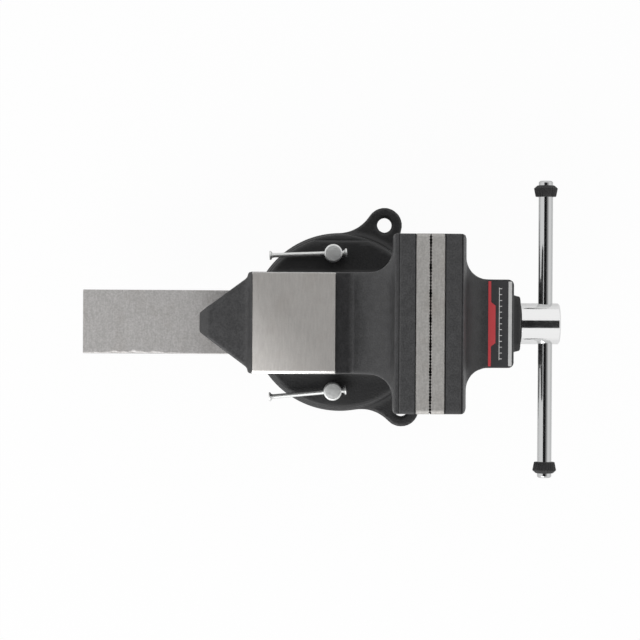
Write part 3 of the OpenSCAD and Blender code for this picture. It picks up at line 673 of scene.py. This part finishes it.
def rolled(points, faces, fillet, edge):
    """Moves a closed surface out by fillet, in by fillet + edge and out by edge. The last step's
    thinning lets flat parts take larger faces."""
    transform = openvdb.createLinearTransform(voxelSize=voxel)
    triangles, quads = [np.vstack([np.zeros((0, n))] + [f for f in faces if f.shape[1] == n])
                        for n in (3, 4)]
    for offset, adaptivity in ((fillet, 0.0), (-fillet - edge, 0.0), (edge, thinning)):
        level = openvdb.FloatGrid.createLevelSetFromPolygons(
            np.asarray(points, np.float32), triangles=triangles.astype(np.uint32),
            quads=quads.astype(np.uint32), transform=transform,
            halfWidth=abs(offset) / voxel + 2)
        points, triangles, quads = level.convertToPolygons(isovalue=offset,
                                                           adaptivity=adaptivity)
    return np.asarray(points, float), [np.asarray(f).astype(int) for f in (triangles, quads)
                                       if len(f)]


print("castings are rolled in voxels of", voxel, "mm")

# %% [markdown]
# ### The base
#
# The base is a round foot with three ears for the bench bolts, and a drum that the body turns
# on. Its bolt holes are wide enough for the ball to roll through, so they stay open and get
# the broken rim of a cored hole. Its underside is machined flat where it stands on the bench.

# %% Base casting
base_fillet, base_rim = 4, 1.6
points, faces = rolled(*shape_of(frame["nodes"]["base"].data), base_fillet, base_rim)
points[:, 2] = np.maximum(points[:, 2], 0)
base_casting = shape("base_casting", points, faces)
dress(base_casting, [enamel], "base", "base", crease=60)

# %% [markdown]
# ### The body
#
# One casting carries the swivel plate, the slide's tunnel, the fixed jaw, the anvil and the
# horn. The tunnel, the seat of the jaw plate and the anvil's face are machined: the blank is
# cast with metal to spare there, which the cutters take off. A filling stops a hair short of
# the blank's own face, so that no two faces lie in one plane.

# %% Fillings and cutters of the body
spare = 3.0
lap = 1.0
hair = 0.01
over = 9.0
anvil_top = 165.0
anvil_cut_x = (body_low[0] + 40, 10)
anvil_cut_y = 70
tunnel_y = 27.8
tunnel_z = (67.7, 118.3)
tunnel_back = body_low[0] + 41
plate_setback = 2.2
tunnel_front = fixed_high[0] - plate_setback

tunnel = block((body_low[0], -tunnel_y, tunnel_z[0]),
               (tunnel_front + over, tunnel_y, tunnel_z[1]))
tunnel_fill = block((tunnel_back + spare, -tunnel_y - lap, tunnel_z[0] - lap),
                    (tunnel_front - hair, tunnel_y + lap, tunnel_z[1] + lap))
fixed_fill = block((fixed_low[0] - spare, fixed_low[1], fixed_low[2] - spare),
                   (tunnel_front - hair, fixed_high[1], fixed_high[2] - hair))
fixed_cut = block((fixed_low[0], fixed_low[1] - over, fixed_low[2]), fixed_high + over)
anvil_cut = block((anvil_cut_x[0], -anvil_cut_y, anvil_top - 1),
                  (anvil_cut_x[1], anvil_cut_y, anvil_top + over))
print(f"the tunnel is {2 * tunnel_y} by {tunnel_z[1] - tunnel_z[0]:.1f} mm")

# %% [markdown]
# ### Lines in the jaws' tops
#
# A fine line runs along the top of each jaw, where the two halves of the mould met. A relief
# slot in the corner of the seat lets the plate sit home, and shows as a thin dark joint.

# %% Body casting
fillet, rim = 2.0, 1.0
jaw_top = fixed_high[2]
cutter_y = 90
line_w, line_h = 0.7, 0.9
relief_w, relief_h = 0.85, 3.0
fixed_line, moving_line = 14.0, 14.3


def v_groove(x, size=1.0):
    """A prism along Y whose edge lies line_h below the jaw's top, line_w wide on each side of x
    there. Size scales both."""
    w, h = 2 * line_w * size, line_h * size
    section = [(x - w, jaw_top + h), (x, jaw_top - h), (x + w, jaw_top + h)]
    return skin(np.array([[(across, y, z) for across, z in section]
                          for y in (-cutter_y, cutter_y)]))


def relief_slot(seat):
    """A slot along Y that runs relief_w into the jaw behind a plate's seat at x = seat."""
    return block((seat - relief_w, -cutter_y, jaw_top - relief_h),
                 (seat + relief_w, cutter_y, jaw_top + over))


blank = several(shape_of(frame["nodes"]["body"].data), tunnel_fill, fixed_fill)
body_casting = shape("body_casting", *rolled(*blank, fillet, rim))
machine(body_casting, tunnel, fixed_cut, anvil_cut, v_groove(fixed_low[0] - fixed_line),
        relief_slot(fixed_low[0]))
dress(body_casting, [enamel], "body", "body", crease=60)

# %% [markdown]
# ### The moving jaw
#
# The moving jaw is cast in one piece with its slide bar. The bar is ground bright and the jaw
# is enamelled, so the two are made as two pieces that meet inside the jaw. The blank is the
# CAD casting without its bar.

# %% Moving jaw casting
jaw_back = moving_low[0] + plate_setback
rest_cut = block((jaw_low[0] - over, -cutter_y, 0), (jaw_back - 2 * hair, cutter_y, 220))
moving_fill = block((jaw_back, moving_low[1], moving_low[2] - spare),
                    (moving_high[0] + spare, moving_high[1], moving_high[2] - hair))
moving_cut = block((*(moving_low[:2] - over), moving_low[2]), moving_high + (0, over, over))
jaw_blank = shape("jaw_blank", *shape_of(frame["nodes"]["moving_jaw"].data))
machine(jaw_blank, rest_cut)
blank = several(shape_of(jaw_blank.data), moving_fill)
bpy.data.objects.remove(jaw_blank)
jaw_casting = shape("moving_jaw_casting", *rolled(*blank, fillet, rim))
machine(jaw_casting, moving_cut, v_groove(moving_high[0] + moving_line, 1.2),
        relief_slot(moving_high[0]))
dress(jaw_casting, [jaw_enamel], "moving_jaw", "moving_jaw", crease=60)

# %% [markdown]
# ## The anvil's ground face
#
# The flat behind the jaw is for light hammer work. It is ground bright, and its long edge on
# the near side has a broader chamfer, stoned smooth, which shines. The face is a slab on top of
# the casting, made of three outlines over each other.

# %% Anvil face
anvil_x = (-75.2, -4.7)
anvil_y = (-42.7, 42.6)
anvil_skin = 4.0
anvil_corner = 0.8
chamfer = {"back": 0.6, "front": 0.5, "near": 2.3, "far": 0.7, "height": 1.3}
level_z = 0.99


def rectangle(x, y, corner):
    """The outline of a rectangle with eased corners."""
    return eased([(x[0], y[0]), (x[1], y[0]), (x[1], y[1]), (x[0], y[1])], corner, 3, True)


def levels(*outlines):
    """A solid through outlines (points, height) of equal length, from the lowest upwards."""
    return skin(np.stack([np.column_stack([o, np.full(len(o), z)]) for o, z in outlines]))


foot = rectangle(anvil_x, anvil_y, anvil_corner)
top = rectangle((anvil_x[0] + chamfer["back"], anvil_x[1] - chamfer["front"]),
                (anvil_y[0] + chamfer["near"], anvil_y[1] - chamfer["far"]), anvil_corner)
face = shape("anvil_face", *levels((foot, anvil_top - anvil_skin),
                                   (foot, anvil_top - chamfer["height"]), (top, anvil_top)))
dress(face, [anvil_steel, bright_steel], "body", "body")
second_finish(face, lambda facing: facing[:, 2] < level_z)

# %% [markdown]
# ## The slide bar
#
# The bar is a channel, ground outside and as cast inside, where the screw and its nut run.
# Its section is one outline carried along X. Near the tail one long edge didn't clean up under
# the grinder: the corner is broader there, and wavy. So the corner's radius is a function of
# the place along the bar: rough_r times a bell round rough_x, exp(-((x - rough_x) / rough_l)^2),
# times a ripple of two sines.

# %% Slide bar
bar_y = 27.5
bar_z = (68.0, 118.0)
wall = 9.0
inside_jaw = 4
edge_r, mouth_r, root_r = 0.8, 1.0, 5.0
rough_x, rough_l, rough_r = -180, 30, 3.2
rough_corner = 7

stations = np.linspace(jaw_low[0], jaw_back + inside_jaw, 400)
bell = np.exp(-((stations - rough_x) / rough_l) ** 2)
ripple = 0.6 + 0.25 * np.sin(stations / 2.9) + 0.15 * np.sin(stations / 1.3 + 1)
inner_y, roof = bar_y - wall, bar_z[1] - wall
section = np.column_stack([
    [-bar_y, -inner_y, -inner_y, inner_y, inner_y, bar_y, bar_y, -bar_y],
    [bar_z[0], bar_z[0], roof, roof, bar_z[0], bar_z[0], bar_z[1], bar_z[1]]])
radius = np.tile([edge_r, mouth_r, root_r, root_r, mouth_r, edge_r, edge_r, edge_r],
                 (len(stations), 1))
radius[:, rough_corner] += rough_r * bell * ripple
section = eased(np.tile(section, (len(stations), 1, 1)), radius, 4, True)
along = np.broadcast_to(stations[:, None, None], (*section.shape[:2], 1))
slide_bar = shape("slide_bar", *skin(np.concatenate([along, section], -1)))
broken_edges(slide_bar, "broken_end", 0.5, 60)
dress(flat_faces(slide_bar), [bar_steel], "moving_jaw", "moving_jaw")

# %% [markdown]
# ## The jaw plates
#
# Hardened steel plates take the grip. Their faces are cut with two crossing sets of grooves,
# which leave rows of small pyramids, and from above the closed jaws meet in a ragged line.
# The plates' ends are dressed down a little. The teeth keep the dark skin of hardening, and
# the other faces are ground after it. Two bores in each plate take the heads of its socket
# screws, which show when the jaws are open.

# %% Serrated jaw plates
pitch = 2.6
tooth = 0.75
worn = 0.25
end_dress, end_slope = 2.0, 0.8
rear_bevel = 0.6
screw_head_h = 5.0
head_room = 0.25
tooth_x = 0.3


def head_bores(node, front, slide):
    """Two bores along X, from the plate's face down to the seats of its screws' heads."""
    low, high = box_mm(node.replace("jaw_plate", "plate_screws"))
    r = (high[2] - low[2]) / 2
    head = high[0] if slide > 0 else low[0]
    bore_r = r + head_room
    bore = [(head - slide * screw_head_h, bore_r), (front + slide * over, bore_r)]
    middle_z = (low[2] + high[2]) / 2
    return [turned(bore, 0, (0, y, middle_z), 64) for y in (low[1] + r, high[1] - r)]


def jaw_plate(name, node, body, slide):
    """A plate with teeth towards slide, +1 or -1 along X. Its front is a grid of half a pitch: a
    tip stands where row + column is odd, the grooves pass through the even points, tooth deeper,
    and each square is split along its groove. Use has worn the face by worn times 1 + the product
    of two sines along the jaw."""
    low, high = box_mm(node)
    y = np.linspace(low[1], high[1], int(round((high[1] - low[1]) / pitch * 2)) + 1)
    z = np.linspace(low[2], high[2], int(round((high[2] - low[2]) / pitch * 2)) + 1)
    rows, columns = np.meshgrid(np.arange(len(z)), np.arange(len(y)), indexing="ij")
    front, back = (high[0], low[0]) if slide > 0 else (low[0], high[0])
    wear = worn * (1 + np.sin(y / 2.3) * np.sin(y / 7.1 + 1))
    depth = wear + tooth * ((rows + columns) % 2 == 0)
    edge_y = np.maximum(np.abs(y) - (high[1] - end_dress), 0)
    height = low[2] + (z[:, None] - low[2]) * (1 - end_slope * edge_y / (high[2] - low[2]))
    teeth = np.stack([front - slide * depth, np.broadcast_to(y, depth.shape), height],
                     -1).reshape(-1, 3)
    number = np.arange(len(teeth)).reshape(depth.shape)
    a, b = number[:-1, :-1].ravel(), number[:-1, 1:].ravel()
    c, d = number[1:, 1:].ravel(), number[1:, :-1].ravel()
    even = ((rows + columns)[:-1, :-1] % 2 == 0).ravel()
    split = np.where(even[:, None], np.stack([a, b, c, a, c, d], 1),
                     np.stack([b, c, d, b, d, a], 1)).reshape(-1, 3)
    border = np.concatenate([number[0, :], number[1:, -1], number[-1, -2::-1],
                             number[-2:0:-1, 0]])
    edge = teeth[border]
    middle = (low + high) / 2
    inset = np.sign(edge - middle) * (np.abs(edge - middle) > (high - low) / 2 - end_dress)
    full, rear = edge.copy(), edge - inset * rear_bevel
    full[:, 0], rear[:, 0] = back + slide * rear_bevel, back
    ring = np.stack([border, len(teeth) + np.arange(len(border)),
                     len(teeth) + len(border) + np.arange(len(border))])
    made = shape(name, np.vstack([teeth, full, rear]),
                 [split, bands(ring)[:, ::-1], ring[-1][::-1][None]])
    machine(made, *head_bores(node, front, slide))
    dress(made, [plate_steel, tooth_steel], body, node, crease=30)
    return second_finish(made, lambda facing: facing[:, 0] * slide > tooth_x)


jaw_plate("fixed_serrated_plate", "fixed_jaw_plate", "body", 1)
jaw_plate("moving_serrated_plate", "moving_jaw_plate", "moving_jaw", -1)

# %% [markdown]
# ## The spindle
#
# The screw that opens and closes the jaws has a trapezoidal thread. The thread is one surface
# round the axis: at each angle the same profile, pushed along by the angle's share of the
# pitch, so it climbs as a real helix does. The head is turned, cross drilled and chromed.

# %% Screw
thread_pitch = 5.0
thread_depth = 2.6
thread_shares = [0, 0.33, 0.46, 0.83, 0.96, 1]
thread_heights = [1, 1, 0, 0, 1, 1]
thread_step = 0.4
spindle_r = 12.0
core_r = spindle_r - thread_depth
head_back = box_mm("thrust_washer")[1][0] + 0.3
thread_end = head_back - 66.0
screw_sides = 48


def helical_thread(along):
    """Round the X axis: at angle t the radius is the thread's profile at along / pitch - t / turn,
    and full where the plain journal begins."""
    along, t = along[:, None], angles(screw_sides)
    phase = np.mod(along / thread_pitch - t / (2 * np.pi), 1)
    r = spindle_r - thread_depth * np.interp(phase, thread_shares, thread_heights)
    return around_x(along, np.where(along > thread_end, spindle_r, r), t)


start = spindle_low[0]
tip = round_x([(start, core_r - 1.6), (start + 0.7, core_r - 0.6)], screw_sides)
thread = helical_thread(np.arange(start + 0.8, thread_end + thread_step, thread_step))
journal = round_x([(thread_end + 0.6, spindle_r), (head_back, spindle_r)], screw_sides)
points, faces = skin(np.concatenate([tip, thread, journal]))
screw = shape("spindle_screw", points + (0, 0, axis_z), faces)
dress(screw, [oiled_steel], "spindle", "spindle", crease=30)

# %% Head
head_r = 17.9
head_bevel = 1.2
neck_r = spindle_r - 0.1
centre_r = 4
drill_half = 30
handle_x = (handle_low[0] + handle_high[0]) / 2
handle_r = (handle_high[0] - handle_low[0]) / 2
drill_r = handle_r + 0.1
profile = [(head_back - 0.4, neck_r), (head_back, neck_r), (head_back, head_r - 1),
           (head_back + 1, head_r), (spindle_high[0] - head_bevel, head_r),
           (spindle_high[0], head_r - head_bevel), (spindle_high[0], centre_r)]
head = shape("spindle_head", *turned(eased(profile, 0.35, 3), 0, (0, 0, axis_z), 160))
drill = [(-drill_half, drill_r), (drill_half, drill_r)]
machine(head, turned(drill, 1, (handle_x, 0, axis_z)))
broken_edges(head, "hole_rim", 0.35, 40)
dress(flat_faces(head), [painted_bright_chrome], "spindle", "spindle")

# %% [markdown]
# ## The handle and its stop rings
#
# A plain chromed bar slides through the head. A ribbed plastic ring near each end keeps it
# from falling out. The ring widens outwards, with a steep chamfer at its outer end. Its ribs
# are a wave in the radius that fades where the chamfer begins.

# %% Handle bar
handle_bevel = 1.1
end_r = 1.5
shoulder = handle_r - handle_bevel
low_y, high_y = handle_low[1], handle_high[1]
profile = [(low_y, end_r), (low_y, shoulder), (low_y + handle_bevel, handle_r),
           (high_y - handle_bevel, handle_r), (high_y, shoulder), (high_y, end_r)]
handle = shape("chromed_handle", *turned(eased(profile, 0.6), 1, (handle_x, 0, axis_z)))
dress(handle, [chrome], "handle", "handle_bar")

# %% Stop rings
rib_count, rib_depth = 26, 0.55
sides_per_rib = 8
lip, rib_foot = 1.4, 2.4
cone_l, cone_d = 2.6, 2.9


def stop_ring(name, node, out):
    """A ring round the handle, out is +1 or -1 along Y. Its radius loses rib_depth times half of
    1 + cos(rib_count t), as far as the outline lies beyond the ribs' foot, rib_foot below r."""
    low, high = box_mm(node)
    r, long = (high[0] - low[0]) / 2, high[1] - low[1]
    outline = eased([(0, handle_r), (0, r - lip), (long - cone_l, r), (long, r - cone_d),
                     (long, handle_r)], (0.2, 0.7, 0.5, 0.4, 0.2), 4, True)
    grid = round_x(outline, rib_count * sides_per_rib)
    t = angles(rib_count * sides_per_rib)
    foot = np.clip(outline[:, 1] - (r - rib_foot), 0, 1)[:, None]
    grid[..., 1:] *= 1 - (rib_depth / r * foot * (0.5 + 0.5 * np.cos(rib_count * t)))[..., None]
    points, faces = skin(grid, closed_u=True)
    points[:, 0] *= out
    inner = low[1] if out > 0 else high[1]
    made = shape(name, place_along(points, 1, (handle_x, inner, axis_z)), faces)
    return dress(made, [black_plastic], "handle", node, crease=50)


stop_ring("upper_ribbed_ring", "upper_stop_ring", 1)
stop_ring("lower_ribbed_ring", "lower_stop_ring", -1)

# %% [markdown]
# ## The swivel lock bolts
#
# Two bolts clamp the swivel plate to the base. Each has a round zinc-plated head, drilled
# across for a small bar that is its lever. The bar's ends are upset to flat nail heads, so
# that it can't fall out.

# %% Lock bolts and bars
lock_r, shank_r = 8.0, 5
lock_seat = 52.0
bar_r, bar_l, bar_gap = 2.0, 69.0, 0.4
hole_r, hole_half = bar_r + 0.15, 12
nail_r, nail_l = 4.05, 3.8
nail = np.array([(0, 1), (0, nail_r - 0.5), (0.5, nail_r), (1.5, nail_r), (2.3, bar_r + 0.5),
                 (nail_l, bar_r)])


def turned_about_z(points, axis):
    """Turns points made along X so that they run along a level axis (c, s): x becomes c x - s y
    and y becomes s x + c y."""
    c, s = axis[0], axis[1]
    return np.column_stack([points[:, 0] * c - points[:, 1] * s,
                            points[:, 0] * s + points[:, 1] * c, points[:, 2]])


def lock_bolt(side):
    """A bolt and its bar. The head is turned round Z, and the bar along its own slide joint, with
    the nail head's profile at one end and its mirror image at the other."""
    joint = [j for j in frame["joints"] if j["name"] == side + "_lock_bar_slide"][0]
    low, high = box_mm(side + "_lock_bolt")
    centre = np.append((low[:2] + high[:2]) / 2, 0)
    bar_height = (lock_seat + high[2]) / 2
    profile = [(low[2], shank_r - 0.8), (low[2] + 0.8, shank_r), (lock_seat, shank_r),
               (lock_seat, lock_r - 0.4), (lock_seat + 0.4, lock_r), (high[2] - 1, lock_r),
               (high[2], lock_r - 1.1), (high[2], 1)]
    bolt = shape(side + "_round_bolt", *turned(eased(profile, 0.25, 2), 2, centre))
    hole, hole_faces = skin(round_x([(-hole_half, hole_r), (hole_half, hole_r)], 32))
    place = centre + (0, 0, bar_height)
    machine(bolt, (turned_about_z(hole, joint["axis"]) + place, hole_faces))
    dress(bolt, [zinc], side + "_lock_bolt", side + "_lock_bolt")
    tip = lock_r + bar_gap + nail_l
    profile = np.vstack([nail + (tip - bar_l, 0), (nail * (-1, 1) + (tip, 0))[::-1]])
    points, faces = skin(round_x(eased(profile, 0.45, 3), 48))
    bar = shape(side + "_nail_headed_bar", turned_about_z(points, joint["axis"]) + place, faces)
    return dress(bar, [zinc], side + "_lock_bar", side + "_lock_bar", crease=50)


lock_bolt("right")
lock_bolt("left")

# %% [markdown]
# ## The label
#
# A printed film is stuck on the flat of the neck. The field is dark grey with a red stripe, a
# silver strip at the front edge and between them a pale rule with a plain scale of ticks. The
# silver strip is a painted highlight: the glare where the film bends over the neck's front
# edge. Each colour is a thin print that stands a little above the film.

# %% Label
label_low, label_high = box_mm("label")
film_t, print_t = 0.25, 0.04
layer_z = label_low[2] + np.array([0, film_t, film_t + print_t])


def film(name, outline, material, layer):
    """A solid with this outline on the flat of the neck: 0 is the film's own layer and 1 the
    print on it."""
    made = shape(name, *levels((outline, layer_z[layer]), (outline, layer_z[layer + 1])))
    return dress(made, [material], "moving_jaw", "label")


def printed(name, colour, rough, metal=0.0):
    """Print on a glossy vinyl film, slightly uneven."""
    material, tree = blank_material(name)
    place = add(tree, "TexCoord")["Object"]
    waver = add(tree, "TexNoise", {"Vector": place, "Scale": per(5), "Detail": 2})[0]
    ripple = add(tree, "Bump", {"Height": waver, "Distance": 0.05 * MM})
    gloss = add(tree, "MapRange", {**most, "Value": waver, "To Min": rough,
                                   "To Max": rough + 0.1})
    shader = add(tree, "BsdfPrincipled", {
        "Base Color": colour, "Metallic": metal, "Roughness": gloss[0], "Normal": ripple[0],
        "Coat Weight": 0.4, "Coat Roughness": 0.15})
    add(tree, "OutputMaterial", {"Surface": shader[0]})
    return material


field = printed("dark_vinyl_print", "#3a3a3c", 0.4)
red = printed("red_vinyl_print", "#d94b51", 0.4)
# Painted highlight: a pale, slightly metallic print stands for glare at the film's front edge.
painted_glare_print = printed("pale_print_as_painted_glare", "#e4e4e3", 0.3, 0.2)
white = printed("pale_vinyl_print", "#efefed", 0.4)
print("made", field.name, red.name, painted_glare_print.name, white.name)

# %% Field, stripe and edge
x0, x1 = label_low[0], label_high[0]
y0, y1 = label_low[1], label_high[1]
margin, edge_w = 0.1, 3.0
left, stripe, tab = x0 + margin, x0 + 2.5, x0 + 6.3
low, high = y0 + 0.6, y1 - 0.6
outline = np.column_stack([[left, stripe, stripe, tab, tab, stripe, stripe, left],
                           [low, low, -19.5, -16.5, 15.5, 18.5, high, high]])

film("label_field", rectangle((x0, x1), (y0, y1), 1.5), field, 0)
film("label_stripe", outline, red, 1)
# The pale strip along the front is painted glare where the film bends over the neck's edge.
film("label_painted_glare", rectangle((x1 - margin - edge_w, x1 - margin), (y0 + 0.8, y1 - 0.8), 0.6),
     painted_glare_print, 1)

# %% Scale of ticks
rule_x = tab + 3.2
rule_half, rule_end = 0.25, 31
tick_from, tick_to = 0.3, 2.4
tick_step = 5.0

rule = rectangle((rule_x - rule_half, rule_x + rule_half), (-rule_end, rule_end), 0.1)
tick = np.array([(tick_from, -rule_half), (tick_from, rule_half), (tick_to, rule_half),
                 (tick_to, -rule_half)]) + (rule_x, 0)
outlines = [tick + (0, y) for y in np.arange(1 - rule_end, rule_end, tick_step)] + [rule]
marks = [levels((outline, layer_z[1]), (outline, layer_z[2])) for outline in outlines]
dress(shape("label_scale", *several(*marks)), [white], "moving_jaw", "label")

# %% [markdown]
# ## The take-up spring
#
# Behind the neck's wall a wound wire spring draws the spindle back and takes up its play. It is
# a circle carried along a helix, its ends closed by flat caps: at turn t and wire angle w the
# wire's surface lies at out = spring_r + wire_r cos w from the axis, at (out cos t, out sin t).

# %% Spring
wire_r = 1.2
spring_r = spindle_r + wire_r + 0.8
coils, steps_per_turn, wire_sides = 5, 32, 16
spring_low, spring_high = box_mm("take_up_spring")
turn = np.linspace(0, 2 * np.pi * coils, coils * steps_per_turn + 1)[:, None]
along = spring_low[0] + wire_r + (spring_high[0] - spring_low[0] - 2 * wire_r) * turn / turn[-1]
w = angles(wire_sides)
points, faces = skin(around_x(along + wire_r * np.sin(w), spring_r + wire_r * np.cos(w), turn))
spring = shape("wound_spring", points + (0, 0, axis_z), faces)
dress(spring, [oiled_steel], "spindle", "take_up_spring")

# %% [markdown]
# ## Plain CAD parts
#
# Washers, nuts, the collar and the hidden bolts have the right shape already. They keep their
# CAD meshes: their loose corners are welded, their edges get a small bevel, and each takes
# the finish of its kind.

# %% Finishes of the plain parts
plain_parts = {
    zinc: ["thrust_washer", "spring_washer", "collar_pin", "pivot_washer"],
    oiled_steel: ["retaining_collar", "spindle_nut", "nut_bolts", "right_slot_nut",
                  "left_slot_nut", "pivot_bolt"],
    blackened: ["fixed_plate_screws", "moving_plate_screws"],
}
for finish, nodes in plain_parts.items():
    for node in nodes:
        part = frame["nodes"][node]
        for slot in part.material_slots:
            slot.material = finish
        weld = part.modifiers.new("weld", "WELD")
        weld.merge_threshold = 0.001 * MM
        broken_edges(part, "bevel", 0.25, 40)
    print(finish.name, "on", ", ".join(nodes))
